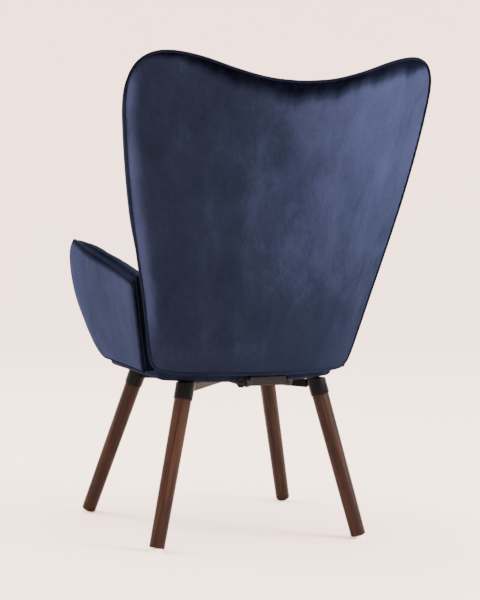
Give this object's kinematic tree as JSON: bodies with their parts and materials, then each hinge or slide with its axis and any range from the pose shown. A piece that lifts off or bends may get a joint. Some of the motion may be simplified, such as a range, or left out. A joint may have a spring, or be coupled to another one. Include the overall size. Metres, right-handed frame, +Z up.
{
  "type": "recliner armchair",
  "caption": "Winged armchair with a one-piece padded back that tilts on a clamped hinge, flared arms, a padded seat and splayed turned legs under a steel cross.",
  "frame": {"origin": "on the floor, under the middle of the chair's width and depth", "axes": "+Z up, -Y the way the sitter faces, +X the sitter's left"},
  "size_m": [0.6798, 0.812, 1.0467],
  "materials": {
    "velvet": "navy velvet over a thin layer of padding",
    "velvet_padding": "navy velvet over foam padding",
    "velvet_piping": "piping cord in navy velvet",
    "dust_cloth": "black non-woven cloth",
    "walnut": "dark walnut stain, satin",
    "plywood": "raw plywood",
    "black_steel": "black, satin",
    "grey_steel": "dark grey, satin",
    "zinc_steel": "zinc plated",
    "bronze": "sintered bronze",
    "nylon": "off-white nylon",
    "black_plastic": "black, fine grained"
  },
  "bodies": {
    "base": {"leg_front_left": "walnut", "glide_front_left": "nylon", "leg_socket_front_left": "black_steel", "leg_bolt_front_left": "zinc_steel", "underframe_channel_front_left": "black_steel", "leg_front_right": "walnut", "glide_front_right": "nylon", "leg_socket_front_right": "black_steel", "leg_bolt_front_right": "zinc_steel", "underframe_channel_front_right": "black_steel", "leg_rear_left": "walnut", "glide_rear_left": "nylon", "leg_socket_rear_left": "black_steel", "leg_bolt_rear_left": "zinc_steel", "underframe_channel_rear_left": "black_steel", "leg_rear_right": "walnut", "glide_rear_right": "nylon", "leg_socket_rear_right": "black_steel", "leg_bolt_rear_right": "zinc_steel", "underframe_channel_rear_right": "black_steel", "hub_plate": "black_steel", "seat_bolt_front": "zinc_steel", "seat_bolt_rear": "zinc_steel", "seat_bolt_left": "zinc_steel", "seat_bolt_right": "zinc_steel", "seat_board": "plywood", "dust_cover": "dust_cloth", "seat_base_cover": "velvet", "seat_rail_front": "plywood", "seat_rail_rear": "plywood", "seat_rail_left": "plywood", "seat_rail_right": "plywood", "seat_cushion": "velvet_padding", "arm_outer_panel_left": "velvet", "arm_board_left": "plywood", "arm_inner_pad_left": "velvet_padding", "arm_strip_left": "velvet", "arm_bolt_left_front": "zinc_steel", "arm_bolt_left_rear": "zinc_steel", "arm_outer_panel_right": "velvet", "arm_board_right": "plywood", "arm_inner_pad_right": "velvet_padding", "arm_strip_right": "velvet", "arm_bolt_right_front": "zinc_steel", "arm_bolt_right_rear": "zinc_steel", "hinge_bracket": "black_steel", "pivot_bolt": "zinc_steel", "friction_washer_left": "zinc_steel", "friction_washer_right": "zinc_steel"},
    "back": {"back_outer_panel": "velvet", "back_board": "plywood", "back_inner_pad": "velvet_padding", "back_welt": "velvet_piping", "back_bar": "grey_steel", "back_bolt_lower_left": "zinc_steel", "back_bolt_lower_right": "zinc_steel", "back_bolt_upper_left": "zinc_steel", "back_bolt_upper_right": "zinc_steel", "pivot_bush": "bronze"},
    "knob": {"clamp_knob": "black_plastic"}
  },
  "joints": [
    {"name": "back_recline", "type": "hinge", "parent": "base", "child": "back", "pos_m": [0, 0.194, 0.3612], "axis": [-1, 0, 0], "range_deg": [0, 20]},
    {"name": "clamp_knob_turn", "type": "hinge", "parent": "base", "child": "knob", "pos_m": [0.0494, 0.194, 0.3612], "axis": [1, 0, 0], "range_deg": [0, 360]}
  ]
}
